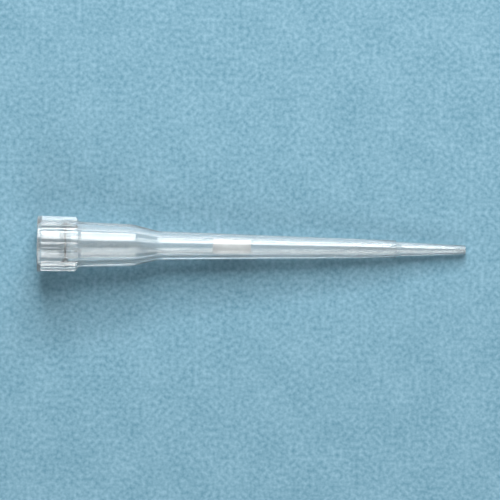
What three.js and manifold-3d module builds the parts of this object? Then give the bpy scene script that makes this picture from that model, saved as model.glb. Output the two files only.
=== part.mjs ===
// A filter pipette tip, lying at rest on a flat surface.
//
// The tip is one clear moulding.  From its mouth it has a rim, a ribbed collar, a plain hub, a
// neck, a long barrel and, past a small step, a fine distal cone.  One bore runs right through
// it: a tapered seat for the pipette's nozzle, a ledge, the hub, the neck, the barrel, a funnel
// and the fine end.  A short porous plug is pressed into the bore of the barrel.
//
// Millimetres, +Z up.  A station is a distance along the tip's own axis, from its mouth.

import * as THREE from 'three';
import { mergeVertices } from 'three/addons/utils/BufferGeometryUtils.js';
import Module from 'manifold-3d';

// Lengths along the axis
const RIM_LENGTH = 0.5;
const RIB_LENGTH = 4.55;
const SHOULDER_LENGTH = 0.55;
const HUB_LENGTH = 6.4;
const NECK_LENGTH = 3.3;
const BARREL_LENGTH = 29.85;
const DISTAL_LENGTH = 8.85;
const LEAD_IN_LENGTH = 0.35;
const SEAT_LENGTH = 3.4;
const LEDGE_LENGTH = 0.25;
const FUNNEL_LENGTH = 3.6;
const FUNNEL_PAST_STEP = 0.35;

// Radii of the bore
const SEAT_BORE = 2.66;
const BARREL_BORE = 1.07;
const DISTAL_BORE = 0.56;
const ORIFICE = 0.28;

// What the bore's radius gains or loses along a section
const LEAD_IN_FLARE = 0.12;
const SEAT_TAPER = 0.16;
const LEDGE_DEPTH = 0.64;
const HUB_TAPER = 0.3;
const BARREL_TAPER = 0.35;

// Walls, from the bore's radius to the outside
const COLLAR_WALL = 0.29;
const HUB_WALL = 0.96;
const HUB_END_WALL = 1.05;
const BARREL_WALL = 0.715;
const BARREL_END_WALL = 0.37;
const DISTAL_WALL = 0.345;
const ORIFICE_WALL = 0.295;

// Ribs of the collar, and the lip by which the rim stands proud of them
const RIB_COUNT = 7;
const RIB_HEIGHT = 0.56;
const RIB_DRAFT = 0.045;
const RIB_ROOT_WIDTH = 0.58;
const RIB_CREST_WIDTH = 0.44;
const RIB_CHAMFER = 0.25;
const RIM_LIP = 0.015;

// Rounded corners: how far each reaches along its two sides, and its number of facets
const RIM_ROUNDING = { reach: 0.12, facets: 2 };
const EDGE_ROUNDING = { reach: 0.06, facets: 1 };
const NECK_BLEND = { reach: 0.55, facets: 4 };
const FILTER_ROUNDING = { reach: 0.1, facets: 2 };

// Porous plug
const FILTER_OFFSET = 6.75;
const FILTER_LENGTH = 4.75;
const FILTER_CLEARANCE = 0.03;

// Facets round the axis, a whole number to each rib so that every rib meets them alike
const FACETS = 8 * RIB_COUNT;
const TURN = 2 * Math.PI;

// Stations where one section ends and the next begins
const ribEnd = RIM_LENGTH + RIB_LENGTH;
const hubStart = ribEnd + SHOULDER_LENGTH;
const neckStart = hubStart + HUB_LENGTH;
const barrelStart = neckStart + NECK_LENGTH;
const barrelEnd = barrelStart + BARREL_LENGTH;
const tipLength = barrelEnd + DISTAL_LENGTH;
const funnelEnd = barrelEnd + FUNNEL_PAST_STEP;
const funnelStart = funnelEnd - FUNNEL_LENGTH;

// Radii that follow from the bore, the tapers and the walls
const seatEndBore = SEAT_BORE - SEAT_TAPER;
const hubBore = seatEndBore - LEDGE_DEPTH;
const hubEndBore = hubBore - HUB_TAPER;
const barrelEndBore = BARREL_BORE - BARREL_TAPER;
const collarRadius = SEAT_BORE + COLLAR_WALL;
const ribRadius = collarRadius + RIB_HEIGHT;
const rimRadius = ribRadius + RIM_LIP;
const tipRadius = ORIFICE + ORIFICE_WALL;

const wasm = await Module();
wasm.setup();

// One corner of an outline, sharp unless it has a rounding.
function corner(station, radius, rounding = null) {
  return { point: new THREE.Vector2(radius, station), rounding };
}

// The outline through a run of corners.  A rounding takes at most half of a side.
function outline(corners) {
  return corners.flatMap(({ point, rounding }, index) => {
    if (rounding === null) {
      return [point];
    }
    const ends = [corners[index - 1].point, corners[index + 1].point].map((next) => {
      const side = next.clone().sub(point);
      const reach = Math.min(rounding.reach, side.length() / 2);
      return side.setLength(reach).add(point);
    });
    return new THREE.QuadraticBezierCurve(ends[0], point, ends[1]).getPoints(rounding.facets);
  });
}

// Revolves a closed outline about +Y.  The first facet's edge faces +Z.
function revolve(points) {
  return new THREE.LatheGeometry([...points, points[0]], FACETS);
}

// Only positions, with shared vertices, so that the mesh is one closed surface.
function weld(geometry) {
  geometry.deleteAttribute('normal');
  geometry.deleteAttribute('uv');
  return mergeVertices(geometry, 1e-5);
}

function toSolid(geometry) {
  const welded = weld(geometry);
  return new wasm.Manifold(new wasm.Mesh({
    numProp: 3,
    vertProperties: new Float32Array(welded.attributes.position.array),
    triVerts: new Uint32Array(welded.index.array),
  }));
}

function toGeometry(solid) {
  const mesh = solid.getMesh();
  const geometry = new THREE.BufferGeometry();
  geometry.setAttribute('position', new THREE.BufferAttribute(mesh.vertProperties, 3));
  geometry.setIndex(new THREE.BufferAttribute(mesh.triVerts, 1));
  return geometry;
}

// The moulding without its ribs: down the outside from the mouth, and back up the bore.
function shellOutline() {
  const outside = outline([
    corner(0, SEAT_BORE + LEAD_IN_FLARE),
    corner(0, rimRadius, RIM_ROUNDING),
    corner(RIM_LENGTH, rimRadius, EDGE_ROUNDING),
    corner(RIM_LENGTH, collarRadius, EDGE_ROUNDING),
    corner(ribEnd, collarRadius),
    corner(hubStart, hubBore + HUB_WALL, EDGE_ROUNDING),
    corner(neckStart, hubEndBore + HUB_END_WALL, NECK_BLEND),
    corner(barrelStart, BARREL_BORE + BARREL_WALL, NECK_BLEND),
    corner(barrelEnd, barrelEndBore + BARREL_END_WALL, EDGE_ROUNDING),
    corner(barrelEnd, DISTAL_BORE + DISTAL_WALL, EDGE_ROUNDING),
    corner(tipLength, tipRadius, EDGE_ROUNDING),
    corner(tipLength, ORIFICE),
  ]);
  const bore = outline([
    corner(tipLength, ORIFICE),
    corner(funnelEnd, DISTAL_BORE),
    corner(funnelStart, barrelEndBore),
    corner(barrelStart, BARREL_BORE, NECK_BLEND),
    corner(neckStart, hubEndBore, NECK_BLEND),
    corner(SEAT_LENGTH + LEDGE_LENGTH, hubBore),
    corner(SEAT_LENGTH, seatEndBore),
    corner(LEAD_IN_LENGTH, SEAT_BORE),
    corner(0, SEAT_BORE + LEAD_IN_FLARE),
  ]);
  return [...outside, ...bore.slice(1, -1)];
}

// One rib, standing along +X with its length along +Y.  It is rooted in the collar's wall and
// in the rim, its crest falls away from the rim, and its far end is chamfered.
function ribGeometry() {
  const root = collarRadius - COLLAR_WALL / 2;
  const crestEnd = ribRadius - RIB_DRAFT;
  const side = new THREE.Shape([
    new THREE.Vector2(root, RIM_LENGTH / 2),
    new THREE.Vector2(ribRadius, RIM_LENGTH / 2),
    new THREE.Vector2(crestEnd, ribEnd - RIB_CHAMFER),
    new THREE.Vector2(crestEnd - RIB_CHAMFER, ribEnd),
    new THREE.Vector2(root, ribEnd),
  ]);
  const rib = new THREE.ExtrudeGeometry(side, { depth: 1, bevelEnabled: false });
  rib.translate(0, 0, -0.5);
  const position = rib.attributes.position;
  for (let i = 0; i < position.count; i += 1) {
    const height = (position.getX(i) - collarRadius) / RIB_HEIGHT;
    const width = THREE.MathUtils.lerp(RIB_ROOT_WIDTH, RIB_CREST_WIDTH, height);
    position.setZ(i, position.getZ(i) * width);
  }
  return rib;
}

// The whole moulding, with one rib facing +Z.
function tipBodyGeometry() {
  let body = toSolid(revolve(shellOutline()));
  for (let i = 0; i < RIB_COUNT; i += 1) {
    const rib = ribGeometry().rotateY((TURN * i) / RIB_COUNT - TURN / 4);
    body = body.add(toSolid(rib));
  }
  return toGeometry(body);
}

// Radius of the barrel's bore at a station.
function barrelBoreAt(station) {
  const along = (station - barrelStart) / (funnelStart - barrelStart);
  return THREE.MathUtils.lerp(BARREL_BORE, barrelEndBore, along);
}

// The plug tapers with the bore that holds it, and its facets line up with the bore's.
function filterPlugGeometry() {
  const start = barrelStart + FILTER_OFFSET;
  const end = start + FILTER_LENGTH;
  const shape = outline([
    corner(start, 0),
    corner(start, barrelBoreAt(start) - FILTER_CLEARANCE, FILTER_ROUNDING),
    corner(end, barrelBoreAt(end) - FILTER_CLEARANCE, FILTER_ROUNDING),
    corner(end, 0),
  ]);
  return weld(new THREE.LatheGeometry(shape, FACETS));
}

// How the tip comes to rest: it leans until it lies on its fine end and its rim, or on its two
// lowest ribs if they reach lower, and then rolls until a rib touches.  The slope is that of
// the surface against the tip's axis, and floorRadius how far from the axis it lies at the ribs.
function restingPose() {
  const ribStation = ribEnd - RIB_CHAMFER;
  const crest = ribRadius - RIB_DRAFT;
  const halfGap = Math.PI / RIB_COUNT - RIB_CREST_WIDTH / 2 / crest;
  const rimSlope = (rimRadius - tipRadius) / (tipLength - RIM_LENGTH);
  const ribSlope = (crest * Math.cos(halfGap) - tipRadius) / (tipLength - ribStation);
  const slope = Math.max(rimSlope, ribSlope);
  const floorRadius = tipRadius + slope * (tipLength - ribStation);
  const roll = halfGap - Math.acos(Math.min(1, floorRadius / crest));
  return { lean: Math.atan(slope), roll };
}

const tipBody = new THREE.Mesh(
  tipBodyGeometry(),
  new THREE.MeshStandardMaterial({
    color: 0xdfeaf0,
    roughness: 0.18,
    metalness: 0,
    transparent: true,
    opacity: 0.4,
  }),
);
tipBody.name = 'tip_body';

const filterPlug = new THREE.Mesh(
  filterPlugGeometry(),
  new THREE.MeshStandardMaterial({ color: 0xf7f7f2, roughness: 0.9, metalness: 0 }),
);
filterPlug.name = 'filter_plug';

// The tip's own axis turns from +Y to +X, and the tip is rolled about it.
const pose = restingPose();
const laid = new THREE.Group();
laid.rotation.set(pose.roll, 0, -Math.PI / 2, 'XYZ');
laid.add(tipBody, filterPlug);

// The mouth's end is the high one.  The origin is under the middle of the tip, on the surface.
const group = new THREE.Group();
group.rotation.y = pose.lean;
group.add(laid);
group.updateMatrixWorld(true);
const bounds = new THREE.Box3().setFromObject(group, true);
const middle = bounds.getCenter(new THREE.Vector3());
group.position.set(-middle.x, -middle.y, -bounds.min.z);

export default group;
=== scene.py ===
"""A filter pipette tip: its clear moulding, its porous plug, and a plain stage to show them on.

The tip is modelled standing on +Z with its mouth at the origin, and is laid down where the CAD
part lies.  A station is a distance from the mouth along the tip's own axis.  Sizes are those of
the CAD part, in metres.
"""

import math
from collections import namedtuple

import bmesh
import bpy
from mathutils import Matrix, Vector


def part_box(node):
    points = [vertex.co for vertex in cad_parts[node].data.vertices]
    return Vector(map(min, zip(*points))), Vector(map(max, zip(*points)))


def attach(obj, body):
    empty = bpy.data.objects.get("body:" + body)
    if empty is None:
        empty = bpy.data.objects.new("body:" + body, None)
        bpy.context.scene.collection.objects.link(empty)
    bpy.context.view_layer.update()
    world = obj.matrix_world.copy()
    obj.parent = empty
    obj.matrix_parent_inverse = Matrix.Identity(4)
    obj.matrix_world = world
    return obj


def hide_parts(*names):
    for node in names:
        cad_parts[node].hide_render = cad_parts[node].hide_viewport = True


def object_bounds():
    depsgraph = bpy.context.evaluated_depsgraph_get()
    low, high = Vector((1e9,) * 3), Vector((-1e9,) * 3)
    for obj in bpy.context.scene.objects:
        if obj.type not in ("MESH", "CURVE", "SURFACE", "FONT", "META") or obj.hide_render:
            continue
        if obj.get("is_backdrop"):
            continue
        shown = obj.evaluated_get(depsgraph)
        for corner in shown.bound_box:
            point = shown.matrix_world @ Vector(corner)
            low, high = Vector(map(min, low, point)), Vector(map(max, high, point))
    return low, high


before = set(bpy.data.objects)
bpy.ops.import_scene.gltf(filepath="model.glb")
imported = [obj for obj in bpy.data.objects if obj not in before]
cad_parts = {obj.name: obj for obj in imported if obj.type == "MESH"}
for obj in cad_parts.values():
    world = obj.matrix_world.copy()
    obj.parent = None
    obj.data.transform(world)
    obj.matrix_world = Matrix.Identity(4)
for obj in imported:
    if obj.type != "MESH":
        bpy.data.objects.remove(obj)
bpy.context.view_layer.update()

bl_info = {
    "name": "Filter Pipette Tip",
    "version": (1, 0, 0),
    "blender": (4, 5, 0),
    "location": "View3D > Sidebar > Pipette Tip",
    "description": "Models a filter pipette tip, its porous plug and a plain stage",
    "category": "Add Mesh",
}

MM = 0.001
TURN = 2 * math.pi


# ---------------------------------------------------------------- settings


def linear(hex_colour):
    """An sRGB hex colour as three linear numbers."""
    channels = [int(hex_colour[i : i + 2], 16) / 255 for i in (1, 3, 5)]
    return tuple(
        c / 12.92 if c <= 0.04045 else ((c + 0.055) / 1.055) ** 2.4 for c in channels
    )


def rgba(colour):
    """A linear colour with full alpha, as a node's socket takes it."""
    return (*colour, 1.0)


def length(name, millimetres, description):
    """A length setting."""
    return bpy.props.FloatProperty(
        name=name,
        description=description,
        default=millimetres * MM,
        min=0.0,
        precision=6,
        unit="LENGTH",
    )


def colour(name, hex_colour, description):
    """A colour setting."""
    return bpy.props.FloatVectorProperty(
        name=name,
        description=description,
        default=linear(hex_colour),
        min=0.0,
        max=1.0,
        subtype="COLOR",
    )


def share(name, default, description):
    """A setting between nothing and all."""
    return bpy.props.FloatProperty(
        name=name,
        description=description,
        default=default,
        min=0.0,
        max=1.0,
        subtype="FACTOR",
    )


class TipBodySettings(bpy.types.PropertyGroup):
    """Sizes and finish of the clear moulding."""

    rim: length("Rim", 0.5, "Thickness of the rim at the mouth")
    ribs: length("Ribs", 4.55, "Length of the collar's ribs")
    shoulder: length("Shoulder", 0.55, "Length of the slope from collar to hub")
    hub: length("Hub", 6.4, "Length of the smooth hub")
    neck: length("Neck", 3.3, "Length of the cone from hub to barrel")
    barrel: length("Barrel", 29.85, "Length of the barrel")
    distal: length("Fine end", 8.85, "Length of the fine end past the step")
    lead_in: length("Lead-in", 0.35, "Length of the flare into the seat")
    seat: length("Seat", 3.4, "How far in the nozzle's seat ends")
    ledge: length("Ledge", 0.25, "Length of the ledge behind the seat")
    funnel: length("Funnel", 3.6, "Length over which the bore narrows to the fine end")
    funnel_past: length("Funnel past step", 0.35, "How far past the step the funnel ends")

    seat_bore: length("Seat bore", 2.66, "Radius of the bore where the seat starts")
    barrel_bore: length("Barrel bore", 1.07, "Radius of the bore where the barrel starts")
    distal_bore: length("Fine end bore", 0.56, "Radius of the bore past the funnel")
    orifice: length("Orifice", 0.28, "Radius of the hole at the fine end")
    lead_in_flare: length("Lead-in flare", 0.12, "How much wider the mouth is than the seat")
    seat_taper: length("Seat taper", 0.16, "What the radius loses along the seat")
    ledge_depth: length("Ledge depth", 0.64, "What the radius loses at the ledge")
    hub_taper: length("Hub taper", 0.3, "What the radius loses along the hub")
    barrel_taper: length("Barrel taper", 0.35, "What the radius loses along the barrel")

    collar_wall: length("Collar wall", 0.29, "Thickness of the wall under the ribs")
    hub_wall: length("Hub wall", 0.96, "Thickness of the hub's wall under the collar")
    hub_end_wall: length("Hub end wall", 1.05, "Thickness of the hub's wall at the neck")
    barrel_wall: length("Barrel wall", 0.715, "Thickness of the barrel's wall at the neck")
    barrel_end_wall: length("Barrel end wall", 0.37, "Thickness of the wall at the step")
    distal_wall: length("Fine end wall", 0.345, "Thickness of the wall past the step")
    orifice_wall: length("Orifice wall", 0.295, "Thickness of the wall at the orifice")

    rib_height: length("Rib height", 0.56, "How far a rib stands out of the collar")
    rib_draft: length("Rib draft", 0.045, "What a rib's crest loses along its length")
    rib_root_width: length("Rib root width", 0.58, "Width of a rib where it leaves the collar")
    rib_crest_width: length("Rib crest width", 0.44, "Width of a rib's crest")
    rib_chamfer: length("Rib chamfer", 0.25, "Chamfer at a rib's far end")
    rim_lip: length("Rim lip", 0.015, "How far the rim stands proud of the ribs")

    tint: colour("Tint", "#FDFEFE", "Colour of the polypropylene")
    haze: colour("Haze", "#F6FAFB", "Colour of the polypropylene where its haze is thickest")
    clearness: share("Clearness", 0.88, "How much of the light passes a surface unscattered")


class FilterPlugSettings(bpy.types.PropertyGroup):
    """Sizes and finish of the porous plug."""

    offset: length("Offset", 6.75, "How far down the barrel the plug starts")
    length: length("Length", 4.75, "Length of the plug")
    clearance: length("Clearance", 0.03, "Gap between the plug and the bore")
    rounding: length("Rounding", 0.12, "Rounding of the plug's two edges")
    grain: length("Grain", 0.22, "Size of the sintered grains that show")
    relief: length("Relief", 0.016, "Depth of the hollows between the grains")
    colour: colour("Colour", "#FCFCFA", "Colour of the porous polyethylene")
    # Painted shade: this grey is painted into the hollows between the sintered grains.
    shaded_pores: colour("Pore colour", "#ECEDEA", "Colour in the pores between the grains")
    bleed: length("Bleed", 3.0, "How far light spreads under the plug's skin")


class StageSettings(bpy.types.PropertyGroup):
    """The floor, the light and the camera."""

    floor_size: length("Floor size", 3000, "Width of the floor")
    floor_colour: colour("Floor colour", "#91B9CC", "Colour of the floor")
    floor_shade: colour("Floor shade", "#6B98AC", "Colour of the floor's darker mottle")
    floor_roughness: share("Floor roughness", 0.24, "How far the floor spreads its sheen")
    sky_colour: colour("Sky colour", "#D0FDFF", "Colour of the light from all round")
    sky: share("Sky", 0.03, "Strength of the light from all round")


# ---------------------------------------------------------------- shape of the tip

RIB_COUNT = 7
GAP_STEPS = 20  # facets of the wall between two ribs
LONGEST_SIDE = 2.5 * MM  # a longer side of the outline is divided
WIDE_ROUNDING = (0.12 * MM, 4)  # reach along the two sides, and facets
EDGE_ROUNDING = (0.06 * MM, 3)
FINE_ROUNDING = (0.03 * MM, 2)
NECK_BLEND = (0.55 * MM, 6)
LEDGE_BLEND = (1.0 * MM, 10)
RIB_ROOT_FILLET = (0.08 * MM, 2)
RIB_CREST_ROUNDING = (0.07 * MM, 2)
RIM_DRAFT = 0.012 * MM  # the rim's inner face leans, so that it leaves its mould
RIB_END_DRAFT = 0.03 * MM
PLUG_ROUNDING_FACETS = 3
SIDES_PER_GRAIN = 3
SHARPEST_SMOOTH = math.radians(40)  # a sharper edge is shaded as an edge
NO_GAP = 1e-6 * MM  # two roundings this close meet, and share a point
NO_GROWTH = 1e-9  # a share of its radius by which a ring needn't be scaled

Ring = namedtuple("Ring", "station radius rise")


def outline(corners):
    """The points through a run of corners (x, y, rounding), with rounded corners curved."""
    points = []
    for index, (x, y, rounding) in enumerate(corners):
        corner = Vector((x, y))
        if rounding is None:
            points.append(corner)
            continue
        reach, facets = rounding
        ends = []
        for near in (corners[index - 1], corners[index + 1]):
            side = Vector(near[:2]) - corner
            ends.append(corner + side.normalized() * min(reach, side.length / 2))
        meets_last = bool(points) and (ends[0] - points[-1]).length < NO_GAP
        for i in range(1 if meets_last else 0, facets + 1):
            t = i / facets
            inner = ends[0].lerp(corner, t)
            points.append(inner.lerp(corner.lerp(ends[1], t), t))
    return points


def divided(points):
    """The same outline, with its long sides cut into shorter ones."""
    result = [points[0]]
    for start, end in zip(points, points[1:]):
        pieces = max(1, math.ceil((end - start).length / LONGEST_SIDE))
        result += [start.lerp(end, i / pieces) for i in range(1, pieces + 1)]
    return result


class TipShape:
    """Stations, radii and outlines that follow from the moulding's sizes."""

    def __init__(self, sizes):
        self.sizes = s = sizes
        self.rib_end = s.rim + s.ribs
        self.hub_start = self.rib_end + s.shoulder
        self.neck_start = self.hub_start + s.hub
        self.barrel_start = self.neck_start + s.neck
        self.barrel_end = self.barrel_start + s.barrel
        self.tip_end = self.barrel_end + s.distal
        self.funnel_end = self.barrel_end + s.funnel_past
        self.funnel_start = self.funnel_end - s.funnel
        self.seat_end_bore = s.seat_bore - s.seat_taper
        self.hub_bore = self.seat_end_bore - s.ledge_depth
        self.hub_end_bore = self.hub_bore - s.hub_taper
        self.barrel_end_bore = s.barrel_bore - s.barrel_taper
        self.mouth = s.seat_bore + s.lead_in_flare
        self.collar = s.seat_bore + s.collar_wall
        self.crest = self.collar + s.rib_height
        self.rim = self.crest + s.rim_lip
        self.tip = s.orifice + s.orifice_wall

    def rings(self):
        """The rings of the moulding, from the mouth's edge over the outside and up the bore."""
        s = self.sizes
        rim = outline([
            (0, self.mouth, None),
            (0, self.rim, WIDE_ROUNDING),
            (s.rim, self.rim, EDGE_ROUNDING),
            (s.rim + RIM_DRAFT, self.collar, EDGE_ROUNDING),
            (self.rib_end, self.collar, None),
        ])[:-1]
        crest = outline([
            (rim[-1].x, self.crest, None),
            (self.rib_end - s.rib_chamfer, self.crest - s.rib_draft, EDGE_ROUNDING),
            (self.rib_end, self.crest - s.rib_draft - s.rib_chamfer, EDGE_ROUNDING),
            (self.rib_end + RIB_END_DRAFT, self.collar, None),
        ])[1:-1]
        outside = outline([
            (self.rib_end, self.collar, None),
            (self.hub_start, self.hub_bore + s.hub_wall, WIDE_ROUNDING),
            (self.neck_start, self.hub_end_bore + s.hub_end_wall, NECK_BLEND),
            (self.barrel_start, s.barrel_bore + s.barrel_wall, NECK_BLEND),
            (self.barrel_end, self.barrel_end_bore + s.barrel_end_wall, EDGE_ROUNDING),
            (self.barrel_end, s.distal_bore + s.distal_wall, EDGE_ROUNDING),
            (self.tip_end, self.tip, EDGE_ROUNDING),
            (self.tip_end, s.orifice, FINE_ROUNDING),
            (self.funnel_end, s.distal_bore, WIDE_ROUNDING),
            (self.funnel_start, self.barrel_end_bore, WIDE_ROUNDING),
            (self.barrel_start, s.barrel_bore, NECK_BLEND),
            (self.neck_start, self.hub_end_bore, NECK_BLEND),
            (s.seat + s.ledge, self.hub_bore, LEDGE_BLEND),
            (s.seat, self.seat_end_bore, LEDGE_BLEND),
            (s.lead_in, s.seat_bore, EDGE_ROUNDING),
            (0, self.mouth, None),
        ])[1:-1]
        edge = s.rim - EDGE_ROUNDING[0]
        rings = [
            Ring(p.x, p.y, max(0.0, self.crest - p.y) if p.x > edge else 0.0) for p in rim
        ]
        rings += [Ring(p.x, self.collar, p.y - self.collar) for p in divided(crest)]
        foot = (outside[0].y - self.collar) / (outside[0].x - self.rib_end)
        station = self.rib_end + 2 * RIB_END_DRAFT
        rings.append(Ring(station, self.collar + foot * (station - self.rib_end), 0.0))
        rings += [Ring(p.x, p.y, 0.0) for p in divided(outside)]
        return rings

    def rib_profile(self):
        """Half of a rib's cross-section, as the angle off its middle and the share of its rise."""
        s = self.sizes
        points = outline([
            (0, s.rib_height, None),
            (s.rib_crest_width / 2, s.rib_height, RIB_CREST_ROUNDING),
            (s.rib_root_width / 2, 0, RIB_ROOT_FILLET),
            (s.rib_root_width, 0, None),
        ])[:-1]
        return [
            (
                math.atan2(half, self.collar + height),
                (math.hypot(half, self.collar + height) - self.collar) / s.rib_height,
            )
            for half, height in points
        ]

    def barrel_bore_at(self, station):
        """Radius of the barrel's bore at a station."""
        along = (station - self.barrel_start) / (self.funnel_start - self.barrel_start)
        return self.sizes.barrel_bore - self.sizes.barrel_taper * along

    def resting_pose(self):
        """The tip's lean and roll as it lies on its fine end and on its rim or lowest ribs."""
        s = self.sizes
        rib_station = self.rib_end - s.rib_chamfer
        crest = self.crest - s.rib_draft
        half_gap = math.pi / RIB_COUNT - s.rib_crest_width / 2 / crest
        rim_slope = (self.rim - self.tip) / (self.tip_end - s.rim)
        reach = self.tip_end - rib_station
        slope = max(rim_slope, (crest * math.cos(half_gap) - self.tip) / reach)
        floor = self.tip + slope * reach
        return math.atan(slope), half_gap - math.acos(min(1.0, floor / crest))


# ---------------------------------------------------------------- modelling by operators


def edit(piece):
    """Enters edit mode on one piece, with its vertices to be selected."""
    bpy.ops.object.select_all(action="DESELECT")
    piece.select_set(True)
    bpy.context.view_layer.objects.active = piece
    bpy.ops.object.mode_set(mode="EDIT")
    bpy.ops.mesh.select_mode(type="VERT")


def selected(piece):
    """Numbers and places of the selected vertices, in edit mode."""
    mesh = bmesh.from_edit_mesh(piece.data)
    mesh.verts.index_update()
    return [(v.index, v.co.copy()) for v in mesh.verts if v.select]


def select(piece, chosen):
    """Selects the vertices with these numbers, in edit mode, and nothing else."""
    mesh = bmesh.from_edit_mesh(piece.data)
    for vertex in mesh.verts:
        vertex.select = vertex.index in chosen
    mesh.select_flush_mode()
    bmesh.update_edit_mesh(piece.data)


def grow(factor, station):
    """Scales what is selected away from the tip's axis."""
    bpy.ops.transform.resize(value=(factor, factor, 1), center_override=(0, 0, station))


def turn(angle):
    """Turns what is selected about the tip's axis.  With no window the operator turns back."""
    bpy.ops.transform.rotate(
        value=-angle, orient_axis="Z", orient_type="GLOBAL", center_override=(0, 0, 0)
    )


def add_circle(name, vertices, ring):
    """A new piece of one ring, in edit mode, with the ring selected."""
    bpy.ops.object.select_all(action="DESELECT")
    bpy.ops.mesh.primitive_circle_add(
        vertices=vertices,
        radius=ring.radius,
        fill_type="NOTHING",
        location=(0, 0, 0),
    )
    piece = bpy.context.active_object
    piece.name = piece.data.name = name
    edit(piece)
    bpy.ops.mesh.select_all(action="SELECT")
    bpy.ops.transform.translate(value=(0, 0, ring.station))
    return piece


def next_ring(before, ring):
    """Extrudes the selected ring to the next one's station and radius."""
    move = (0, 0, ring.station - before.station)
    bpy.ops.mesh.extrude_edges_move(TRANSFORM_OT_translate={"value": move})
    grow(ring.radius / before.radius, ring.station)


def lay_down(piece, node, pose):
    """Lays a finished piece where its CAD node lies, with its place in its mesh."""
    lean, roll = pose
    bpy.ops.object.select_all(action="DESELECT")
    piece.select_set(True)
    bpy.context.view_layer.objects.active = piece
    for rotation in ((TURN / 4, 0, TURN / 4), (roll, lean, 0)):
        piece.rotation_euler = rotation
        bpy.ops.object.transform_apply(location=True, rotation=True, scale=True)
    low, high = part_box(node)
    corners = [[v.co[i] for v in piece.data.vertices] for i in range(3)]
    own_low, own_high = (Vector([end(c) for c in corners]) for end in (min, max))
    piece.location = (Vector(low) + Vector(high) - own_low - own_high) / 2
    bpy.ops.object.transform_apply(location=True, rotation=True, scale=True)


def apply_modifier(piece, kind, **settings):
    """Adds a modifier with its settings and applies it."""
    bpy.ops.object.modifier_add(type=kind)
    modifier = piece.modifiers[-1]
    for name, value in settings.items():
        setattr(modifier, name, value)
    bpy.ops.object.modifier_apply(modifier=modifier.name)


def angle_off_rib(place):
    """How far a place is turned about the axis from the middle of the nearest rib."""
    pitch = TURN / RIB_COUNT
    around = math.atan2(-place.x, place.y) % pitch
    return around - pitch if around > pitch / 2 else around


def gather_round_ribs(piece, profile, steps):
    """Turns the first ring's vertices to where the ribs' corners need them.

    Returns the share of a rib's rise for each vertex of a ring, in the ring's own order."""
    pitch = TURN / RIB_COUNT
    step = pitch / steps
    angles = [angle for angle, _ in profile]
    shares = [rise for _, rise in profile]
    spare = (steps - 1) // 2 - len(angles) + 1
    gap = (pitch / 2 - angles[-1]) / (spare + 0.5)
    angles += [angles[-1] + gap * (i + 1) for i in range(spare)]
    shares += [0.0] * spare
    ring = [(index, round(angle_off_rib(place) / step)) for index, place in selected(piece)]
    for order, angle in enumerate(angles):
        for side in {1, -1} if order else {1}:
            select(piece, {index for index, at in ring if at == side * order})
            turn(side * (angle - order * step))
    bpy.ops.mesh.select_all(action="SELECT")
    return [shares[abs(at)] for _, at in ring]


def raise_ribs(piece, shares, before, ring):
    """Scales the selected ring's vertices outwards where the ribs stand."""
    if not before.rise and not ring.rise:
        return
    vertices = [index for index, _ in selected(piece)]
    kept = ring.radius / before.radius
    for level in sorted(set(shares)):
        now = (before.radius + level * before.rise) * kept
        factor = (ring.radius + level * ring.rise) / now
        if level and abs(factor - 1) > NO_GROWTH:
            select(piece, {v for v, s in zip(vertices, shares) if s == level})
            grow(factor, ring.station)
    select(piece, set(vertices))


def finish_mesh(piece):
    """Makes a closed mesh face outwards, and shades it smooth."""
    bpy.ops.mesh.select_all(action="SELECT")
    bpy.ops.mesh.normals_make_consistent(inside=False)
    bpy.ops.object.mode_set(mode="OBJECT")
    bpy.ops.object.shade_smooth_by_angle(angle=SHARPEST_SMOOTH)


def model_tip_body(sizes):
    """The clear moulding: ring after ring is extruded, from the mouth down the outside, round
    the fine end and back up the bore, where the last ring is bridged to the first."""
    shape = TipShape(sizes)
    rings = shape.rings()
    profile = shape.rib_profile()
    steps = 2 * len(profile) - 1 + GAP_STEPS
    piece = add_circle("tip_body_moulding", RIB_COUNT * steps, rings[0])
    first = {index for index, _ in selected(piece)}
    shares = gather_round_ribs(piece, profile, steps)
    for before, ring in zip(rings, rings[1:]):
        next_ring(before, ring)
        raise_ribs(piece, shares, before, ring)
    last = {index for index, _ in selected(piece)}
    select(piece, first | last)
    bpy.ops.mesh.bridge_edge_loops()
    finish_mesh(piece)
    lay_down(piece, "tip_body", shape.resting_pose())
    apply_modifier(piece, "WEIGHTED_NORMAL", keep_sharp=True)
    return piece


def model_filter_plug(sizes, tip_sizes):
    """The porous plug: a tapered cylinder with rounded edges, whose skin is pitted."""
    shape = TipShape(tip_sizes)
    start = shape.barrel_start + sizes.offset
    end = start + sizes.length
    radii = [shape.barrel_bore_at(at) - sizes.clearance for at in (start, end)]
    rounding = (sizes.rounding, PLUG_ROUNDING_FACETS)
    points = outline([
        (start, 0, None),
        (start, radii[0], rounding),
        (end, radii[1], rounding),
        (end, 0, None),
    ])
    grid = sizes.grain / SIDES_PER_GRAIN
    rings = []
    for first, second in zip(points, points[1:]):
        pieces = max(1, round((second - first).length / grid))
        rings += [first.lerp(second, i / pieces) for i in range(1, pieces + 1)]
    rings = [Ring(p.x, p.y, 0.0) for p in rings[:-1]]
    count = round(TURN * radii[0] / grid)
    piece = add_circle("filter_plug_sintered", count, rings[0])
    ends = [{index for index, _ in selected(piece)}]
    for before, ring in zip(rings, rings[1:]):
        next_ring(before, ring)
    ends.append({index for index, _ in selected(piece)})
    for ring in ends:
        select(piece, ring)
        bpy.ops.mesh.edge_face_add()
        bpy.ops.mesh.poke()
    finish_mesh(piece)
    lay_down(piece, "filter_plug", shape.resting_pose())
    grains = bpy.data.textures.new("sintered_grains", "VORONOI")
    grains.noise_scale = sizes.grain
    grains.noise_intensity = 1.0
    apply_modifier(
        piece,
        "DISPLACE",
        texture=grains,
        texture_coords="GLOBAL",
        mid_level=1.0,
        strength=sizes.relief,
    )
    return piece


# ---------------------------------------------------------------- materials

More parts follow.
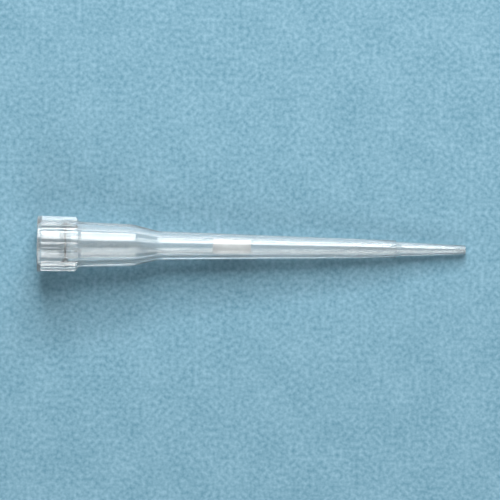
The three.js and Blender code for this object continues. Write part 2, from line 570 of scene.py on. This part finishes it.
MIX_FIRST, MIX_SECOND, MIX_RESULT = 6, 7, 2  # the colour sockets of a mix node
POLYPROPYLENE_IOR = 1.49
POLYETHYLENE_IOR = 1.5
COATING_IOR = 1.42
HAZE_DRIFT = 2.5 * MM
FLOW_LINE_WIDTH = 0.3 * MM
FLOW_LINE_STRETCH = 0.06  # how much slower a flow line changes along the tip than across it
FLOW_LINE_DEPTH = 0.004 * MM
SKIN_ROUGHNESS = (0.03, 0.1)
FIBRE_MOTTLE = 0.5 * MM
PAPER_CLOUD = 5 * MM
PAPER_CLOUD_SHARE = 0.25


def add_node(tree, kind, inputs=None, **settings):
    """Adds a node, sets it, and gives its inputs their values or links."""
    node = tree.nodes.new(kind)
    for name, value in settings.items():
        setattr(node, name, value)
    for name, value in (inputs or {}).items():
        if isinstance(value, bpy.types.NodeSocket):
            tree.links.new(value, node.inputs[name])
        else:
            node.inputs[name].default_value = value
    return node


def new_material(name):
    """An empty node material, and its tree."""
    material = bpy.data.materials.new(name)
    material.use_nodes = True
    material.node_tree.nodes.clear()
    return material, material.node_tree


def moulded_polypropylene(settings, lean):
    """Natural polypropylene, injection moulded against polished steel.

    To the eye it is clear but faintly milky, with glossy skin: what is behind it shows softened,
    the haze drifts a little from place to place, and fine flow lines run with the axis."""
    material, tree = new_material("moulded_natural_polypropylene")
    place = add_node(tree, "ShaderNodeTexCoord").outputs["Object"]
    along = add_node(
        tree,
        "ShaderNodeMapping",
        {"Vector": place, "Rotation": (0, -lean, 0)},
    ).outputs["Vector"]
    drift = add_node(
        tree,
        "ShaderNodeTexNoise",
        {"Vector": along, "Scale": 1 / HAZE_DRIFT, "Detail": 3.0, "Roughness": 0.5},
    ).outputs["Fac"]
    streaks = add_node(
        tree,
        "ShaderNodeMapping",
        {"Vector": along, "Scale": (FLOW_LINE_STRETCH, 1.0, 1.0)},
    ).outputs["Vector"]
    flow = add_node(
        tree,
        "ShaderNodeTexNoise",
        {"Vector": streaks, "Scale": 1 / FLOW_LINE_WIDTH, "Detail": 2.0, "Roughness": 0.6},
    ).outputs["Fac"]
    tint = add_node(
        tree,
        "ShaderNodeMix",
        {
            "Factor": drift,
            MIX_FIRST: rgba(settings.tint),
            MIX_SECOND: rgba(settings.haze),
        },
        data_type="RGBA",
    ).outputs[MIX_RESULT]
    rough = add_node(
        tree,
        "ShaderNodeMapRange",
        {
            "Value": flow,
            "From Min": 0.3,
            "From Max": 0.7,
            "To Min": SKIN_ROUGHNESS[0],
            "To Max": SKIN_ROUGHNESS[1],
        },
    ).outputs["Result"]
    bump = add_node(
        tree,
        "ShaderNodeBump",
        {"Height": flow, "Strength": 0.15, "Distance": FLOW_LINE_DEPTH},
    ).outputs["Normal"]
    shader = add_node(
        tree,
        "ShaderNodeBsdfPrincipled",
        {
            "Base Color": tint,
            "Roughness": rough,
            "Normal": bump,
            "IOR": POLYPROPYLENE_IOR,
            "Transmission Weight": settings.clearness,
        },
    )
    add_node(tree, "ShaderNodeOutputMaterial", {"Surface": shader.outputs["BSDF"]})
    return material


def sintered_polyethylene(settings):
    """White polyethylene powder, sintered to an open-pored rod.

    To the eye it is dead matt and bright white, with a fine even grain; the hollows between its
    grains are painted a little grey, as painted shade."""
    material, tree = new_material("sintered_porous_polyethylene")
    place = add_node(tree, "ShaderNodeTexCoord").outputs["Object"]
    grains = add_node(
        tree,
        "ShaderNodeTexVoronoi",
        {"Vector": place, "Scale": 1 / settings.grain},
    ).outputs["Distance"]
    # Painted shade: towards each grain's edge, in the hollows the bump sinks, the colour turns to
    # the grey of the pores.
    tone = add_node(
        tree,
        "ShaderNodeMapRange",
        {"Value": grains, "From Min": 0.1, "From Max": 0.7, "To Min": 0.0, "To Max": 1.0},
    ).outputs["Result"]
    tint = add_node(
        tree,
        "ShaderNodeMix",
        {
            "Factor": tone,
            MIX_FIRST: rgba(settings.colour),
            MIX_SECOND: rgba(settings.shaded_pores),
        },
        data_type="RGBA",
    ).outputs[MIX_RESULT]
    bump = add_node(
        tree,
        "ShaderNodeBump",
        {"Height": grains, "Strength": 0.5, "Distance": settings.relief},
        invert=True,
    ).outputs["Normal"]
    shader = add_node(
        tree,
        "ShaderNodeBsdfPrincipled",
        {
            "Base Color": tint,
            "Roughness": 0.9,
            "Normal": bump,
            "IOR": POLYETHYLENE_IOR,
            "Subsurface Weight": 1.0,
            "Subsurface Radius": (1.0, 1.0, 1.0),
            "Subsurface Scale": settings.bleed,
        },
    )
    add_node(tree, "ShaderNodeOutputMaterial", {"Surface": shader.outputs["BSDF"]})
    return material


def satin_paper(settings):
    """Coated paper, calendered to a satin face.

    To the eye it is even, with a fine mottle where its fibres were pressed together and a faint
    cloudiness, and at low angles it has a sheen."""
    material, tree = new_material("satin_paper")
    place = add_node(tree, "ShaderNodeTexCoord").outputs["Object"]
    mottle = add_node(
        tree,
        "ShaderNodeTexNoise",
        {"Vector": place, "Scale": 1 / FIBRE_MOTTLE, "Detail": 1.0},
    ).outputs["Fac"]
    cloud = add_node(
        tree,
        "ShaderNodeTexNoise",
        {"Vector": place, "Scale": 1 / PAPER_CLOUD, "Detail": 2.0},
    ).outputs["Fac"]
    blend = add_node(
        tree,
        "ShaderNodeMix",
        {"Factor": PAPER_CLOUD_SHARE, "A": mottle, "B": cloud},
    ).outputs[0]
    tone = add_node(
        tree,
        "ShaderNodeMapRange",
        {"Value": blend, "From Min": 0.3, "From Max": 0.7, "To Min": 0.0, "To Max": 1.0},
    ).outputs["Result"]
    tint = add_node(
        tree,
        "ShaderNodeMix",
        {
            "Factor": tone,
            MIX_FIRST: rgba(settings.floor_shade),
            MIX_SECOND: rgba(settings.floor_colour),
        },
        data_type="RGBA",
    ).outputs[MIX_RESULT]
    shader = add_node(
        tree,
        "ShaderNodeBsdfPrincipled",
        {"Base Color": tint, "Roughness": settings.floor_roughness, "IOR": COATING_IOR},
    )
    add_node(tree, "ShaderNodeOutputMaterial", {"Surface": shader.outputs["BSDF"]})
    return material


# ---------------------------------------------------------------- light and camera

LAMP_DISTANCE = 0.5
CAMERA_HEIGHT = 0.36
CAMERA_TURN = 0.85  # degrees about the vertical
CAMERA_OFFSET = Vector((-0.18 * MM, -0.39 * MM, 0))  # from over the middle of the part
CAMERA_CLIPS = (0.01, 10)  # nearest and farthest distance seen
AXIS_HEIGHT = 3.6 * MM
PICTURE_WIDTH = 62.7 * MM  # seen by the camera at the height of the tip's axis
SENSOR_WIDTH = 36

# A soft panel's slant off the vertical towards +Y and the angle it spans, both in degrees, its
# width along the tip, the middle of that width, and how much brighter it is than a white card
SoftPanel = namedtuple("SoftPanel", "slant span width middle brightness")
PANELS = {
    "key_panel": SoftPanel(slant=42, span=32, width=0.34, middle=0.02, brightness=8.6),
    "edge_panel": SoftPanel(slant=62, span=8, width=0.34, middle=0.02, brightness=18.5),
    "fill_panel": SoftPanel(slant=-59, span=30, width=0.28, middle=0.05, brightness=4.4),
}


def add_panel(scene, name, panel):
    """A soft panel along the tip, which faces the tip's axis."""
    data = bpy.data.lights.new(name, "AREA")
    data.shape = "RECTANGLE"
    data.size = panel.width
    data.size_y = 2 * LAMP_DISTANCE * math.tan(math.radians(panel.span / 2))
    data.energy = panel.brightness * math.pi * data.size * data.size_y
    lamp = bpy.data.objects.new(name, data)
    lamp.rotation_euler = (-math.radians(panel.slant), 0, 0)
    place = Vector((panel.middle, 0, LAMP_DISTANCE))
    lamp.location = lamp.rotation_euler.to_matrix() @ place
    scene.collection.objects.link(lamp)


def add_sky(scene, settings):
    """A dim, even light from all round."""
    world = bpy.data.worlds.new("studio")
    world.use_nodes = True
    sky = world.node_tree.nodes["Background"].inputs
    sky["Color"].default_value = rgba(settings.sky_colour)
    sky["Strength"].default_value = settings.sky
    scene.world = world


def add_camera(scene, middle):
    """The camera, which looks straight down on the part from over its middle."""
    bpy.ops.object.camera_add(
        location=Vector((middle.x, middle.y, CAMERA_HEIGHT)) + CAMERA_OFFSET,
        rotation=(0, 0, math.radians(CAMERA_TURN)),
    )
    camera = bpy.context.active_object
    camera.name = "camera"
    camera.data.sensor_width = SENSOR_WIDTH
    camera.data.lens = SENSOR_WIDTH * (CAMERA_HEIGHT - AXIS_HEIGHT) / PICTURE_WIDTH
    camera.data.clip_start, camera.data.clip_end = CAMERA_CLIPS
    scene.camera = camera


# ---------------------------------------------------------------- operators


class TIP_OT_make_body(bpy.types.Operator):
    """Models the clear moulding with its ribbed collar and its bore"""

    bl_idname = "pipette_tip.make_body"
    bl_label = "Make Tip Body"
    bl_options = {"REGISTER", "UNDO"}

    def execute(self, context):
        settings = context.scene.tip_body
        piece = model_tip_body(settings)
        lean, _ = TipShape(settings).resting_pose()
        piece.data.materials.append(moulded_polypropylene(settings, lean))
        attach(piece, "root")
        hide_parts("tip_body")
        return {"FINISHED"}


class TIP_OT_make_plug(bpy.types.Operator):
    """Models the porous plug that filters the air in the barrel"""

    bl_idname = "pipette_tip.make_plug"
    bl_label = "Make Filter Plug"
    bl_options = {"REGISTER", "UNDO"}

    def execute(self, context):
        settings = context.scene.filter_plug
        piece = model_filter_plug(settings, context.scene.tip_body)
        piece.data.materials.append(sintered_polyethylene(settings))
        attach(piece, "root")
        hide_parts("filter_plug")
        return {"FINISHED"}


class TIP_OT_make_stage(bpy.types.Operator):
    """Makes the floor, the light and the camera"""

    bl_idname = "pipette_tip.make_stage"
    bl_label = "Make Stage"
    bl_options = {"REGISTER", "UNDO"}

    def execute(self, context):
        scene = context.scene
        settings = scene.tip_stage
        scene.view_settings.view_transform = "Standard"
        bpy.ops.object.select_all(action="DESELECT")
        low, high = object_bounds()
        bpy.ops.mesh.primitive_plane_add(size=settings.floor_size, location=(0, 0, low.z))
        floor = context.active_object
        floor.name = "floor"
        floor.data.materials.append(satin_paper(settings))
        floor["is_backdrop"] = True
        for name, panel in PANELS.items():
            add_panel(scene, name, panel)
        add_sky(scene, settings)
        add_camera(scene, (low + high) / 2)
        return {"FINISHED"}


class TIP_PT_sidebar(bpy.types.Panel):
    """Lists the settings and the operators"""

    bl_label = "Pipette Tip"
    bl_idname = "TIP_PT_sidebar"
    bl_space_type = "VIEW_3D"
    bl_region_type = "UI"
    bl_category = "Pipette Tip"

    def draw(self, context):
        scene = context.scene
        for operator, settings in (
            (TIP_OT_make_body, scene.tip_body),
            (TIP_OT_make_plug, scene.filter_plug),
            (TIP_OT_make_stage, scene.tip_stage),
        ):
            box = self.layout.box()
            box.operator(operator.bl_idname)
            for name in settings.__annotations__:
                box.prop(settings, name)


CLASSES = (
    TipBodySettings,
    FilterPlugSettings,
    StageSettings,
    TIP_OT_make_body,
    TIP_OT_make_plug,
    TIP_OT_make_stage,
    TIP_PT_sidebar,
)


def register():
    """Registers the classes and the scene's settings."""
    for cls in CLASSES:
        bpy.utils.register_class(cls)
    bpy.types.Scene.tip_body = bpy.props.PointerProperty(type=TipBodySettings)
    bpy.types.Scene.filter_plug = bpy.props.PointerProperty(type=FilterPlugSettings)
    bpy.types.Scene.tip_stage = bpy.props.PointerProperty(type=StageSettings)


def unregister():
    """Takes back what register added."""
    del bpy.types.Scene.tip_stage
    del bpy.types.Scene.filter_plug
    del bpy.types.Scene.tip_body
    for cls in reversed(CLASSES):
        bpy.utils.unregister_class(cls)


def main():
    """Makes the pieces and the stage."""
    register()
    bpy.ops.pipette_tip.make_body()
    bpy.ops.pipette_tip.make_plug()
    bpy.ops.pipette_tip.make_stage()


if __name__ == "__main__":
    main()
